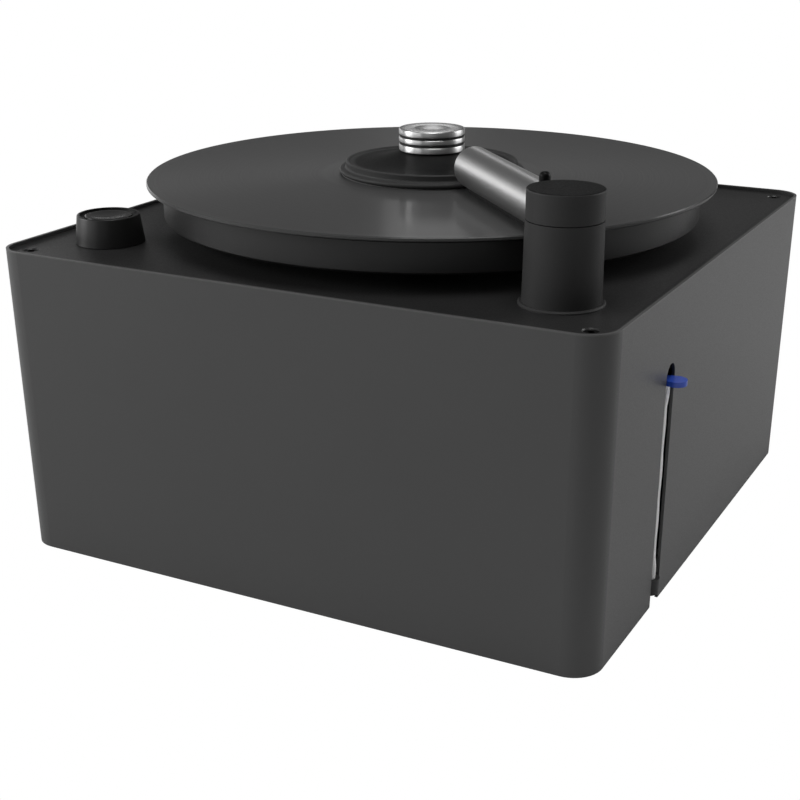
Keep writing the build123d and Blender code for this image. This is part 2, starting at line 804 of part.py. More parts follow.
def make_drive_motor():
    gearhead_bottom = motor_plate_bottom - gearhead_height
    motor_bottom = gearhead_bottom - motor_height
    motor = turned([(0, motor_bottom), (motor_radius - motor_bevel, motor_bottom),
                    (motor_radius, motor_bottom + motor_bevel), (motor_radius, gearhead_bottom),
                    (gearhead_radius, gearhead_bottom), (gearhead_radius, motor_plate_bottom),
                    (0, motor_plate_bottom)], motor_x)
    return motor - disc(motor_shaft_radius + running_play, motor_plate_bottom - motor_shaft_depth - 1,
                        motor_plate_bottom + 1, motor_x)


# ---------------------------------------------------------------- record clamp
clamp_bottom = record_top + clamp_ring_thickness / 2
knob_seat = record_top + knob_seat_height
raised_top = record_top + raised_height
lip_inner = raised_radius - raised_lip_width


def make_clamp_plate():
    """Beaded flange, raised rim and a concave cone up to the knob's seat."""
    bead = flange_thickness / 2
    flange_top = clamp_bottom + flange_thickness
    floor = raised_top - bowl_depth
    cove = (flange_radius - bead - raised_radius) / 2
    underside = Line((clamp_bore, clamp_bottom), (flange_radius - bead, clamp_bottom))
    rim = ThreePointArc(underside @ 1, (flange_radius, clamp_bottom + bead),
                        (flange_radius - bead, flange_top))
    ledge = Line(rim @ 1, (raised_radius + cove, flange_top))
    in_cove = cove * (1 - cos(pi / 4))
    hollow = ThreePointArc(ledge @ 1, (raised_radius + in_cove, flange_top + in_cove),
                           (raised_radius, flange_top + cove))
    wall = Polyline(hollow @ 1, (raised_radius, raised_top - raised_edge),
                    (raised_radius - raised_edge, raised_top), (lip_inner, raised_top),
                    (lip_inner - bowl_depth, floor))
    middle = ((lip_inner + cone_radius) / 2 - cone_waist_inset, floor + cone_waist_rise)
    cone = ThreePointArc(wall @ 1, middle, (cone_radius, knob_seat))
    closing = Polyline(cone @ 1, (clamp_bore, knob_seat), underside @ 0)
    outline = underside + rim + ledge + hollow + wall + cone + closing
    plate = revolve(Plane.XZ * make_face(outline), Axis.Z)
    groove_top = clamp_bottom + clamp_ring_thickness / 2
    return plate - sleeve(clamp_ring_outer + seat_play, clamp_ring_inner - seat_play,
                          clamp_bottom - 1, groove_top)


def make_clamp_ring():
    return sleeve(clamp_ring_outer, clamp_ring_inner, record_top, record_top + clamp_ring_thickness)


def knob_levels():
    """Underside and top of each polished ring of the clamp's knob."""
    levels, level = [], knob_seat
    for index, height in enumerate(knob_ring_heights):
        levels.append((level, level + height))
        level += height + (knob_groove_heights[index] if index < len(knob_groove_heights) else 0)
    return levels


def make_clamp_knob():
    levels = knob_levels()
    low, high = levels[0][0], levels[-1][1]
    groove = clamp_knob_radius - knob_groove_depth
    knob = disc(groove, low, high)
    for bottom, top in levels:
        ring = disc(clamp_knob_radius, bottom, top)
        knob += fillet(ring.edges().filter_by(GeomType.CIRCLE), knob_edge_round)
    sphere_radius = (dish_radius ** 2 + dish_depth ** 2) / (2 * dish_depth)
    knob -= Pos(0, 0, high + sphere_radius - dish_depth) * Sphere(sphere_radius)
    bore_top = record_top + spindle_pin_height + pin_tip_gap
    return knob - disc(spindle_pin_radius + running_play, low - 1, bore_top)


def make_knob_rings():
    levels = knob_levels()
    inner = clamp_knob_radius - knob_groove_depth
    return [sleeve(inner + knob_groove_ring, inner, lower[1], upper[0])
            for lower, upper in zip(levels, levels[1:])]


# ---------------------------------------------------------------- suction arm tower
def at_tower(shape):
    """Move a shape made along +X from the Z axis to the arm's direction at the tower."""
    return Pos(tower_x, control_y, 0) * Rot(0, 0, arm_angle) * shape


def make_column():
    neck_bottom = plate_bottom - column_neck_drop
    bore = riser_radius + running_play
    return turned([(bore, neck_bottom), (column_neck_radius, neck_bottom), (column_neck_radius, plate_top),
                   (column_foot_radius, plate_top), (column_top_radius, column_top),
                   (column_bore, column_top), (column_bore, neck_top), (bore, neck_top)],
                  tower_x, control_y)


def make_column_ring():
    low, high = plate_top, plate_top + column_ring_thickness
    inner = column_foot_radius + seat_play
    bevel = column_ring_thickness / 2
    return turned([(inner, low), (column_ring_radius, low), (column_ring_radius, high - bevel),
                   (column_ring_radius - bevel, high), (inner, high)], tower_x, control_y)


def make_column_nut():
    low = plate_bottom - nut_thickness
    hexagon = Pos(tower_x, control_y, low) * RegularPolygon(nut_across_flats / 2, 6, major_radius=False)
    return extrude(hexagon, nut_thickness) - disc(column_neck_radius + seat_play, low - 1, plate_bottom + 1,
                                                  tower_x, control_y)


riser_bottom = plate_top - riser_in_neck
collar_top = column_top - spring_end_gap
collar_bottom = collar_top - collar_height


def make_riser():
    return sleeve(riser_radius, riser_radius - riser_wall, riser_bottom, head_bottom + head_floor,
                  tower_x, control_y)


def make_collar():
    bore = riser_radius + running_play
    collar = sleeve(column_bore - collar_radius_play, bore, collar_bottom, collar_top, tower_x, control_y)
    return collar + sleeve(collar_rim_radius, bore, collar_top, head_bottom, tower_x, control_y)


def make_lift_spring():
    low = neck_top + spring_end_gap + spring_wire_radius
    high = collar_bottom - spring_end_gap - spring_wire_radius
    radius = (column_bore + riser_radius) / 2
    path = Helix(pitch=(high - low) / spring_turns, height=high - low, radius=radius)
    wire = Plane(origin=path @ 0, z_dir=path % 0) * Circle(spring_wire_radius)
    return Pos(tower_x, control_y, low) * sweep(wire, path)


def top_screw_hole():
    """Tapped hole in the spigot, under the tube's crest."""
    crest = arm_axis_z + arm_tube_radius
    return disc(top_screw_stem_radius + screw_play, crest - top_screw_stem, crest + 1, top_screw_offset)


def make_arm_head():
    """Turning head with an air chamber and the spigot that carries the suction tube."""
    head = disc(head_radius, head_bottom, head_top)
    head = fillet(head.edges().group_by(Axis.Z)[-1], head_edge_round)
    spigot = bar_along_x(arm_bore - seat_play, chamber_radius, spigot_end, 0, arm_axis_z)
    spigot -= disc(head_radius + root_gap, arm_axis_z - arm_tube_radius - 1, head_bottom)
    head += spigot
    floor = head_bottom + head_floor
    head -= disc(chamber_radius, floor, head_top - head_roof)
    head -= disc(riser_radius + seat_play, head_bottom - 1, floor + 1)
    duct_bottom = floor + duct_rise
    head -= block(0, spigot_end + 1, -duct_width / 2, duct_width / 2,
                  duct_bottom, duct_bottom + duct_height)
    return at_tower(head - top_screw_hole())


def make_suction_tube():
    tube = bar_along_x(arm_tube_radius, 0, arm_reach - end_cap_thickness, 0, arm_axis_z)
    tube -= bar_along_x(arm_bore, -1, arm_reach, 0, arm_axis_z)
    tube -= disc(head_radius + root_gap, arm_axis_z - arm_tube_radius - 1, arm_axis_z + arm_tube_radius + 1)
    slot_place = Pos((suction_slot_start + suction_slot_end) / 2, 0, arm_axis_z - arm_tube_radius - 1)
    slot = slot_place * SlotOverall(suction_slot_end - suction_slot_start, suction_slot_width)
    tube -= extrude(slot, arm_tube_radius)
    tube -= top_screw_hole()
    far_side = tube.solids().sort_by(Axis.X)[-1]
    return at_tower(far_side)


def make_end_cap():
    outer_x = arm_reach - end_cap_thickness
    cap = bar_along_x(arm_tube_radius, outer_x, arm_reach, 0, arm_axis_z)
    cap = fillet(cap.edges().group_by(Axis.X)[-1], end_cap_round)
    cap += bar_along_x(arm_bore - seat_play, suction_slot_end + 1, outer_x, 0, arm_axis_z)
    return at_tower(cap)


def make_velvet_lips():
    low = arm_axis_z - arm_tube_radius - lip_drop
    tube = bar_along_x(arm_tube_radius, 0, arm_reach, 0, arm_axis_z)
    strips = []
    for side in (-1, 1):
        near, far = sorted((side * suction_slot_width / 2, side * (suction_slot_width / 2 + lip_width)))
        strip = block(suction_slot_start, suction_slot_end, near, far, low, low + lip_rise) - tube
        strips.append(at_tower(strip))
    return strips


def make_top_screw():
    """Domed screw with a saddle-shaped underside, through the tube into its spigot."""
    crest = arm_axis_z + arm_tube_radius
    dome = disc(top_screw_radius, arm_axis_z + arm_bore, crest + top_screw_height, top_screw_offset)
    dome = fillet(dome.edges().group_by(Axis.Z)[-1], top_screw_round)
    dome -= bar_along_x(arm_tube_radius, 0, arm_reach, 0, arm_axis_z)
    return at_tower(dome + disc(top_screw_stem_radius, crest - top_screw_stem, crest, top_screw_offset))


# ---------------------------------------------------------------- control knob
def make_selector_knob():
    low = plate_top + knob_gap
    x, y = knob_x, control_y
    knob = turned([(0, low), (knob_base_radius, low), (knob_top_radius, knob_top - knob_edge),
                   (knob_top_radius - knob_edge, knob_top), (0, knob_top)], x, y)
    knob -= disc(knob_well_radius, well_floor, knob_top + 1, x, y)
    hollow_top = low + knob_hollow_depth
    knob -= sleeve(knob_hollow_radius, knob_hub_radius, low - 1, hollow_top, x, y)
    knob -= disc(selector_shaft_radius + seat_play, low - 1, hollow_top, x, y)
    return knob - disc(button_stem_radius + running_play, low - 1, well_floor + 1, x, y)


def make_selector_shaft():
    low = plate_bottom - shaft_in_body
    return sleeve(selector_shaft_radius, button_stem_radius + running_play, low,
                  plate_top + knob_gap + knob_hollow_depth, knob_x, control_y)


def make_suction_button():
    x, y = knob_x, control_y
    low = well_floor + button_travel + button_play
    high = knob_top - button_sink
    radius = knob_well_radius - button_play
    button = disc(radius, low, high, x, y)
    button = fillet(button.edges().group_by(Axis.Z)[-1], button_edge_round)
    sphere_radius = (button_dish_radius ** 2 + button_dish_depth ** 2) / (2 * button_dish_depth)
    button -= Pos(x, y, high + sphere_radius - button_dish_depth) * Sphere(sphere_radius)
    return button + disc(button_stem_radius, plate_bottom - shaft_in_body, low, x, y)


def make_selector_switch():
    x, y = knob_x, control_y
    half = selector_body / 2
    low = plate_bottom - selector_body_height
    switch = block(x - half, x + half, y - half, y + half, low, plate_bottom)
    switch += disc(selector_neck_radius, plate_bottom, plate_top, x, y)
    switch -= disc(selector_shaft_radius + running_play, plate_bottom - shaft_in_body - button_travel - 1,
                   plate_top + 1, x, y)
    return switch


# ---------------------------------------------------------------- waste tank and hoses
inlet_bore = inlet_spigot_radius - inlet_spigot_wall
air_bore = air_spigot_radius - inlet_spigot_wall


def make_tank():
    tank = rounded_slab(tank_width, tank_depth, tank_corner_radius, tank_bottom, tank_top, tank_x, tank_y)
    cavity = rounded_slab(tank_width - 2 * tank_wall, tank_depth - 2 * tank_wall,
                          tank_corner_radius - tank_wall, tank_bottom + tank_wall, tank_top + 1,
                          tank_x, tank_y)
    return tank - cavity - bar_along_x(outlet_passage, tank_right - tank_wall - 1, tank_right + 1,
                                       outlet_y, pivot_z)


def make_tank_lid():
    lid = rounded_slab(tank_width, tank_depth, tank_corner_radius, tank_top, lid_top, tank_x, tank_y)
    inside = tank_wall + lid_play
    lip_outer = rounded_slab(tank_width - 2 * inside, tank_depth - 2 * inside, tank_corner_radius - inside,
                             tank_top - lid_lip, tank_top, tank_x, tank_y)
    lip_inner_edge = inside + tank_wall
    lip_hole = rounded_slab(tank_width - 2 * lip_inner_edge, tank_depth - 2 * lip_inner_edge,
                            tank_corner_radius - lip_inner_edge, tank_top - lid_lip - 1, tank_top,
                            tank_x, tank_y)
    lid += lip_outer - lip_hole
    lid += disc(inlet_spigot_radius, lid_top, lid_top + inlet_spigot_height, tower_x, control_y)
    lid -= disc(inlet_bore, tank_top - 1, lid_top + inlet_spigot_height + 1, tower_x, control_y)
    lid += disc(air_spigot_radius, lid_top, lid_top + air_spigot_height, air_port_x, air_port_y)
    return lid - disc(air_bore, tank_top - 1, lid_top + air_spigot_height + 1, air_port_x, air_port_y)


def make_suction_hose():
    """Rubber sleeve from the tower's neck down to the tank's inlet."""
    low = lid_top + hose_end_gap
    neck_bottom = plate_bottom - column_neck_drop
    neck = column_neck_radius + seat_play
    spigot = inlet_spigot_radius + seat_play
    overlap_low = neck_bottom + hose_grip
    middle_low = lid_top + inlet_spigot_height
    return turned([(spigot, low), (spigot + hose_wall, low), (spigot + hose_wall, middle_low),
                   (neck + hose_wall, neck_bottom), (neck + hose_wall, overlap_low), (neck, overlap_low),
                   (neck, neck_bottom), (spigot, middle_low)], tower_x, control_y)


def make_air_hose():
    start = lid_top + hose_end_gap
    end = turbine_top + hose_end_gap
    bore = air_spigot_radius + seat_play
    path = FilletPolyline((air_port_x, air_port_y, start), (air_port_x, air_port_y, air_hose_level),
                          (turbine_x, turbine_y, air_hose_level), (turbine_x, turbine_y, end),
                          radius=air_hose_bend)
    start_plane = Plane(origin=(air_port_x, air_port_y, start), z_dir=(0, 0, 1))
    return sweep(start_plane * (Circle(bore + hose_wall) - Circle(bore)), path)


def make_tank_outlet():
    socket_bore = elbow_spigot_radius + running_play
    outlet = bar_along_x(outlet_pipe_radius, tank_right, pivot_x, outlet_y, pivot_z)
    outlet += bar_along_y(elbow_leg_radius, socket_front, socket_back + outlet_end_wall, pivot_x, pivot_z)
    outlet -= bar_along_x(outlet_passage, tank_right - 1, pivot_x, outlet_y, pivot_z)
    return outlet - bar_along_y(socket_bore, socket_front - 1, socket_back, pivot_x, pivot_z)


def make_drain_elbow():
    upright = disc(elbow_radius, elbow_bottom, drain_hose_bottom, drain_hose_x, slot_y)
    upright = fillet(upright.edges().group_by(Axis.Z)[0], elbow_edge_round)
    elbow = upright + bar_along_y(elbow_leg_radius, slot_y, elbow_leg_end, pivot_x, pivot_z)
    elbow += bar_along_y(elbow_spigot_radius, elbow_leg_end, elbow_spigot_end, pivot_x, pivot_z)
    barb_top = drain_hose_bottom + elbow_barb_length
    elbow += disc(drain_hose_bore - seat_play, drain_hose_bottom, barb_top, drain_hose_x, slot_y)
    elbow -= bar_along_y(outlet_passage, slot_y, elbow_spigot_end + 1, pivot_x, pivot_z)
    return elbow - disc(elbow_barb_bore, pivot_z, barb_top + 1, drain_hose_x, slot_y)


def make_drain_hose():
    return sleeve(drain_hose_radius, drain_hose_bore, drain_hose_bottom, drain_hose_top,
                  drain_hose_x, slot_y)


def make_drain_plug():
    low = drain_hose_top + plug_head_gap
    circles = (Pos(drain_hose_x, slot_y) * Circle(plug_head_radius),
               Pos(plug_tab_x, slot_y) * Circle(plug_tab_radius))
    outline = make_hull([edge for circle in circles for edge in circle.edges()])
    head = extrude(Pos(0, 0, low) * outline, plug_head_thickness)
    return head + disc(drain_hose_bore - running_play, drain_hose_top - plug_stem, low,
                       drain_hose_x, slot_y)


# ---------------------------------------------------------------- vacuum unit and exhaust
def make_motor_mount():
    return sleeve(vacuum_motor_radius - mount_outer_inset, vacuum_motor_radius - mount_inner_inset,
                  base_top, base_top + mount_height, turbine_x, turbine_y)


def make_vacuum_motor():
    low = base_top + mount_height
    motor = turned([(0, low), (vacuum_motor_radius - vacuum_motor_bevel, low),
                    (vacuum_motor_radius, low + vacuum_motor_bevel), (vacuum_motor_radius, turbine_bottom),
                    (0, turbine_bottom)], turbine_x, turbine_y)
    return motor - disc(motor_spin_radius + running_play, turbine_bottom - spin_shaft_depth - 1,
                        turbine_bottom + 1, turbine_x, turbine_y)


def make_turbine_housing():
    housing = disc(turbine_radius, turbine_bottom, turbine_top, turbine_x, turbine_y)
    duct_middle = (turbine_bottom + turbine_top) / 2
    half_w, half_h = exhaust_width / 2, exhaust_height / 2
    duct_end = half_depth - grille_depth
    housing += block(turbine_x - half_w, turbine_x + half_w, turbine_y, duct_end,
                     duct_middle - half_h, duct_middle + half_h)
    inlet_top = turbine_top + turbine_inlet_height
    housing += disc(turbine_inlet_radius, turbine_top, inlet_top, turbine_x, turbine_y)
    housing -= disc(turbine_radius - turbine_wall, turbine_bottom + turbine_wall,
                    turbine_top - turbine_wall, turbine_x, turbine_y)
    inner_w, inner_h = half_w - turbine_wall, half_h - turbine_wall
    housing -= block(turbine_x - inner_w, turbine_x + inner_w, turbine_y, duct_end + 1,
                     duct_middle - inner_h, duct_middle + inner_h)
    housing -= disc(turbine_inlet_radius - inlet_spigot_wall, turbine_top - turbine_wall - 1, inlet_top + 1,
                    turbine_x, turbine_y)
    return housing - disc(motor_spin_radius + shaft_hole_play, turbine_bottom - 1,
                          turbine_bottom + turbine_wall + 1, turbine_x, turbine_y)


def make_impeller():
    low = (turbine_bottom + turbine_top - impeller_height) / 2
    high = low + impeller_height
    wheel = disc(impeller_radius, low, low + impeller_disc)
    wheel += sleeve(impeller_radius, impeller_eye, high - impeller_disc, high)
    wheel += disc(impeller_hub_radius, low, high - impeller_disc)
    tip_radius = impeller_radius - blade_tip_inset
    tip_turn, bow_turn = radians(blade_sweep), radians(blade_bow_turn)
    for index in range(blade_count):
        bow = (blade_bow_radius * cos(bow_turn), blade_bow_radius * sin(bow_turn))
        tip = (tip_radius * cos(tip_turn), tip_radius * sin(tip_turn))
        spine = ThreePointArc((blade_root_radius, 0), bow, tip)
        blade = extrude(Pos(0, 0, low) * trace(spine, blade_thickness), impeller_height - impeller_disc)
        wheel += Rot(0, 0, 360.0 * index / blade_count) * blade
    wheel += disc(motor_spin_radius, turbine_bottom - spin_shaft_depth, low)
    return Pos(turbine_x, turbine_y, 0) * wheel


def make_exhaust_grille():
    """Flanged frame with sloping slats in the rear wall."""
    half_w, half_h = grille_width / 2, grille_height / 2
    low, high = grille_z - half_h, grille_z + half_h
    left, right = turbine_x - half_w, turbine_x + half_w
    frame = block(left, right, half_depth - grille_depth, half_depth, low, high)
    face = half_depth + grille_flange_thickness
    frame += block(left - grille_flange, right + grille_flange, half_depth, face,
                   low - grille_flange, high + grille_flange)
    rim = grille_frame
    frame -= block(left + rim, right - rim, half_depth - grille_depth - 1, face + 1, low + rim, high - rim)
    count = int((grille_height - 2 * rim) / slat_pitch)
    slat_length = (grille_depth - slat_thickness * sin(radians(slat_angle))) / cos(radians(slat_angle))
    slat = Rot(-slat_angle, 0, 0) * Box(grille_width - 2 * (rim - slat_root), slat_length, slat_thickness)
    middle_y = half_depth - grille_depth / 2
    for index in range(count):
        z = grille_z + (index - (count - 1) / 2) * slat_pitch
        frame += Pos(turbine_x, middle_y, z) * slat
    return frame


# ---------------------------------------------------------------- mains inlet, switch and electronics
def make_mains_inlet():
    half_w, half_h = inlet_body_width / 2, inlet_body_height / 2
    inlet = block(inlet_x - half_w, inlet_x + half_w, half_depth - inlet_depth, half_depth,
                  rear_panel_z - half_h, rear_panel_z + half_h)
    inlet += block(inlet_x - half_w - inlet_flange, inlet_x + half_w + inlet_flange, half_depth, rear_face,
                   rear_panel_z - half_h - inlet_flange, rear_panel_z + half_h + inlet_flange)
    half_cavity = inlet_cavity_width / 2
    cavity_floor = rear_face - inlet_cavity_depth
    inlet -= block(inlet_x - half_cavity, inlet_x + half_cavity, cavity_floor, rear_face + 1,
                   rear_panel_z - inlet_cavity_height / 2, rear_panel_z + inlet_cavity_height / 2)
    return inlet


def make_inlet_pins():
    cavity_floor = rear_face - inlet_cavity_depth
    pins = []
    half_thick, half_wide = inlet_pin_thickness / 2, inlet_pin_width / 2
    for index, rise in ((-1, -1), (0, 1), (1, -1)):
        x = inlet_x + index * inlet_pin_pitch
        z = rear_panel_z + rise * half_wide
        pins.append(block(x - half_thick, x + half_thick, cavity_floor, cavity_floor + inlet_pin_length,
                          z - half_wide, z + half_wide))
    return pins


def rocker_pins(radius, length):
    """Bar along the rocker's pivot, reaching into the frame's walls."""
    reach = switch_body_width / 2 - switch_wall + length
    return bar_along_x(radius, switch_x - reach, switch_x + reach,
                       rear_face - rocker_pivot_depth, rear_panel_z)


def make_switch_frame():
    half_w, half_h = switch_body_width / 2, switch_body_height / 2
    frame = block(switch_x - half_w, switch_x + half_w, half_depth - switch_depth, half_depth,
                  rear_panel_z - half_h, rear_panel_z + half_h)
    frame += block(switch_x - half_w - switch_flange, switch_x + half_w + switch_flange,
                   half_depth, rear_face,
                   rear_panel_z - half_h - switch_flange, rear_panel_z + half_h + switch_flange)
    inner_w, inner_h = half_w - switch_wall, half_h - switch_wall
    floor = rear_face - rocker_pivot_depth - rocker_depth - 2 * rocker_end_play
    frame -= block(switch_x - inner_w, switch_x + inner_w, floor, rear_face + 1,
                   rear_panel_z - inner_h, rear_panel_z + inner_h)
    return frame - rocker_pins(rocker_pivot_radius + running_play, rocker_pivot_length + running_play)


def make_power_rocker():
    """Rocker on two pins, with a dished face, lying tilted to its off side."""
    half_length = switch_body_height / 2 - switch_wall - rocker_end_play
    width = switch_body_width - 2 * (switch_wall + rocker_play)
    lean = half_length * tan(radians(rocker_tilt))
    outer = rocker_pivot_depth + lean
    outline = Polyline((-rocker_depth, -rocker_back_half), (-rocker_depth, rocker_back_half),
                       (0, half_length), (outer, half_length), (rocker_pivot_depth + rocker_proud, 0),
                       (outer, -half_length), (0, -half_length), close=True)
    paddle = extrude(Plane.YZ * make_face(outline), width / 2, both=True)
    pivot = Pos(switch_x, rear_face - rocker_pivot_depth, rear_panel_z)
    return pivot * Rot(rocker_tilt, 0, 0) * paddle + rocker_pins(rocker_pivot_radius, rocker_pivot_length)


def make_control_board():
    """Circuit board on four standoffs, with a row of relays and one of capacitors."""
    low = base_top + board_height
    high = low + board_thickness
    board = block(board_x - board_width / 2, board_x + board_width / 2, board_y - board_depth / 2,
                  board_y + board_depth / 2, low, high)
    for x, y in corners(board_width / 2 - standoff_inset, board_depth / 2 - standoff_inset):
        board += disc(standoff_radius, base_top, low, board_x + x, board_y + y)
    relay_back = board_y + board_depth / 2 - relay_edge_gap
    relay_pitch = relay_width + relay_gap
    for index in range(relay_count):
        x = board_x + (index - (relay_count - 1) / 2) * relay_pitch
        board += block(x - relay_width / 2, x + relay_width / 2, relay_back - relay_depth, relay_back,
                       high, high + relay_height)
    row_y = relay_back - relay_depth - capacitor_gap - capacitor_radius
    capacitor_pitch = 2 * capacitor_radius + capacitor_gap
    for index in range(capacitor_count):
        x = board_x + (index - (capacitor_count - 1) / 2) * capacitor_pitch
        board += disc(capacitor_radius, high, high + capacitor_height, x, row_y)
    return board


def make_transformer():
    """Laminated core on a foot, with its coil standing out on both sides."""
    half_w, half_d = transformer_width / 2, transformer_depth / 2
    low = base_top + transformer_foot_thickness
    high = low + transformer_height
    core = block(transformer_x - half_w, transformer_x + half_w, transformer_y - half_d + coil_overhang,
                 transformer_y + half_d - coil_overhang, low, high)
    coil = block(transformer_x - coil_half_width, transformer_x + coil_half_width,
                 transformer_y - half_d, transformer_y + half_d, low + coil_inset, high - coil_inset)
    foot_reach = half_w + transformer_foot_reach
    foot = block(transformer_x - foot_reach, transformer_x + foot_reach,
                 transformer_y - transformer_foot_half_depth, transformer_y + transformer_foot_half_depth,
                 base_top, low)
    return core + coil + foot


# ---------------------------------------------------------------- write every sub-part
os.makedirs("parts", exist_ok=True)

save("casing", make_casing())
save("top_plate", make_top_plate())
save("base_plate", make_base_plate())
save("corner_posts", *make_corner_posts())
save("top_plate_screws", *[countersunk_screw(x, y, plate_top)
                           for x, y in corners(corner_screw_x, corner_screw_y)])
save("base_screws", *make_base_screws())
save("rubber_feet", *make_feet())
save("foot_screws", *[countersunk_screw(x, y, base_top, foot_screw_length)
                      for x, y in corners(foot_x, foot_y)])

save("platter", make_platter())
save("platter_mat", make_mat())
save("record_disc", make_record())
save("spindle", make_spindle())
save("platter_screws", *[countersunk_screw(x, y, platter_top, platter_screw_length)
                         for x, y in platter_screw_places])
save("bearing_housing", make_bearing_housing())
save("bearing_bushes", *make_bushes())
save("housing_screws", *make_housing_screws())

save("spindle_gear", make_spindle_gear())
save("motor_pinion", make_pinion())
save("motor_plate", make_motor_plate())
save("motor_spacers", *make_spacers())
save("spacer_screws", *make_spacer_screws())
save("drive_motor", make_drive_motor())

save("clamp_plate", make_clamp_plate())
save("clamp_rubber_ring", make_clamp_ring())
save("clamp_knob", make_clamp_knob())
save("clamp_knob_rings", *make_knob_rings())

save("arm_column", make_column())
save("column_base_ring", make_column_ring())
save("column_nut", make_column_nut())
save("riser_tube", make_riser())
save("lift_collar", make_collar())
save("lift_spring", make_lift_spring())
save("arm_head", make_arm_head())
save("suction_tube", make_suction_tube())
save("tube_end_cap", make_end_cap())
save("velvet_lips", *make_velvet_lips())
save("arm_top_screw", make_top_screw())

save("selector_knob", make_selector_knob())
save("selector_shaft", make_selector_shaft())
save("suction_button", make_suction_button())
save("selector_switch", make_selector_switch())

save("waste_tank", make_tank())
save("tank_lid", make_tank_lid())
save("suction_hose", make_suction_hose())
save("air_hose", make_air_hose())
save("tank_outlet", make_tank_outlet())
save("drain_elbow", make_drain_elbow())
save("drain_hose", make_drain_hose())
save("drain_plug", make_drain_plug())

save("motor_mount", make_motor_mount())
save("vacuum_motor", make_vacuum_motor())
save("turbine_housing", make_turbine_housing())
save("impeller", make_impeller())
save("exhaust_grille", make_exhaust_grille())

save("mains_inlet", make_mains_inlet())
save("inlet_pins", *make_inlet_pins())
save("switch_frame", make_switch_frame())
save("power_rocker", make_power_rocker())
save("control_board", make_control_board())
save("transformer", make_transformer())
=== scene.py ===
from math import cos, pi, radians, sin

import bmesh
import bpy
from mathutils import Matrix, Vector


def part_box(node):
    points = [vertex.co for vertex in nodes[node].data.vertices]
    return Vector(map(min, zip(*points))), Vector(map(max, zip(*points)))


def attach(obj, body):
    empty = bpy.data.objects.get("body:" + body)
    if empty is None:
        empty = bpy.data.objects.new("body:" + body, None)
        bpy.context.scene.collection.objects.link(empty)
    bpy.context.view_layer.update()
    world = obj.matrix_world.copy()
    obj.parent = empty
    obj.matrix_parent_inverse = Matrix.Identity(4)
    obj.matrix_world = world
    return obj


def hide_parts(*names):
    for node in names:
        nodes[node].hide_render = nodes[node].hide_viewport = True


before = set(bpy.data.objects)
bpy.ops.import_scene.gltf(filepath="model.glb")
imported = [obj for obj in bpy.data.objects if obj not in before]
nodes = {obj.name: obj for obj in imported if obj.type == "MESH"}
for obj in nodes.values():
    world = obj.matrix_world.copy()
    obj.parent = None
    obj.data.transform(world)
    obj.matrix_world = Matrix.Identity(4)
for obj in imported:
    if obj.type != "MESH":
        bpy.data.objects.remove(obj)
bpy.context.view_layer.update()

print("frame loaded")


# Colour and shader helpers

def tone(level, warmth=0.0):
    value = level / 255
    linear = value / 12.92 if value <= 0.04045 else ((value + 0.055) / 1.055) ** 2.4
    return (linear * (1 + warmth), linear, linear * (1 - warmth), 1.0)


def rgb(red, green, blue):
    return tuple(tone(level)[0] for level in (red, green, blue)) + (1.0,)


class Wire:
    def __init__(self, shader, socket):
        self.shader = shader
        self.socket = socket

    def math(self, operation, *others):
        made = self.shader.tree.nodes.new("ShaderNodeMath")
        made.operation = operation
        for socket, value in zip(made.inputs, (self, *others)):
            self.shader.feed(socket, value)
        return Wire(self.shader, made.outputs[0])

    def __add__(self, other):
        return self.math("ADD", other)

    def __mul__(self, other):
        return self.math("MULTIPLY", other)

    def ramp(self, low, high, start=0.0, end=1.0):
        return self.shader.node("ShaderNodeMapRange", {"Value": self, "From Min": low, "From Max": high,
                                                       "To Min": start, "To Max": end})

    def spread(self, low, high, margin=0.3):
        return self.ramp(margin, 1 - margin, low, high)


class Shader:
    def __init__(self, name, **values):
        self.material = bpy.data.materials.new(name)
        self.material.use_nodes = True
        self.tree = self.material.node_tree
        self.surface = self.tree.nodes["Principled BSDF"]
        self.set(**values)

    def feed(self, socket, value):
        if isinstance(value, Wire):
            self.tree.links.new(value.socket, socket)
        else:
            socket.default_value = value

    def node(self, kind, inputs=None, output=0):
        made = self.tree.nodes.new(kind)
        for key, value in (inputs or {}).items():
            self.feed(made.inputs[key], value)
        return Wire(self, made.outputs[output])

    def set(self, **values):
        for key, value in values.items():
            self.feed(self.surface.inputs[key.replace("_", " ")], value)

    def place(self):
        return self.node("ShaderNodeTexCoord", output="Object")

    def axes(self):
        split = self.node("ShaderNodeSeparateXYZ", {"Vector": self.place()})
        return [Wire(self, output) for output in split.socket.node.outputs]

    def turning(self):
        x, y, z = self.axes()
        return (x * x + y * y).math("SQRT"), z

    def mapped(self, scale, turn):
        return self.node("ShaderNodeMapping", {"Vector": self.place(), "Scale": scale, "Rotation": turn})

    def noise(self, scale, detail=2.0, where=None):
        return self.node("ShaderNodeTexNoise", {"Vector": where or self.place(), "Scale": scale,
                                                "Detail": detail})

    def mix(self, factor, first, second):
        made = self.tree.nodes.new("ShaderNodeMix")
        made.data_type = "RGBA"
        for index, value in ((0, factor), (6, first), (7, second)):
            self.feed(made.inputs[index], value)
        return Wire(self, made.outputs[2])

    def bump(self, height, strength, distance):
        normal = self.node("ShaderNodeBump", {"Height": height, "Strength": strength, "Distance": distance})
        self.set(Normal=normal)


def dress(look, *names):
    for name in names:
        slots = nodes[name].data.materials
        slots.clear()
        slots.append(look.material)


# Materials

caseRimHighlight = (0.1642, 0.1647)          # from and to which height the coat is painted lighter, a painted highlight along the casing's top rim, in metres
clampLitFlangeEdge = (0.0405, 0.0425)        # radii between the clamp's cone and its flange; the flange outside them is painted lighter, a painted highlight
playedBand = ((0.0585, 0.0605), (0.1475, 0.1455))       # grooves' inner and outer edges, fading in and out
labelEdge = (0.0484, 0.0482)        # label's edge, from vinyl to paper
paintedShadeFade = 0.0003                    # height over which a painted dark top, a painted shade, begins
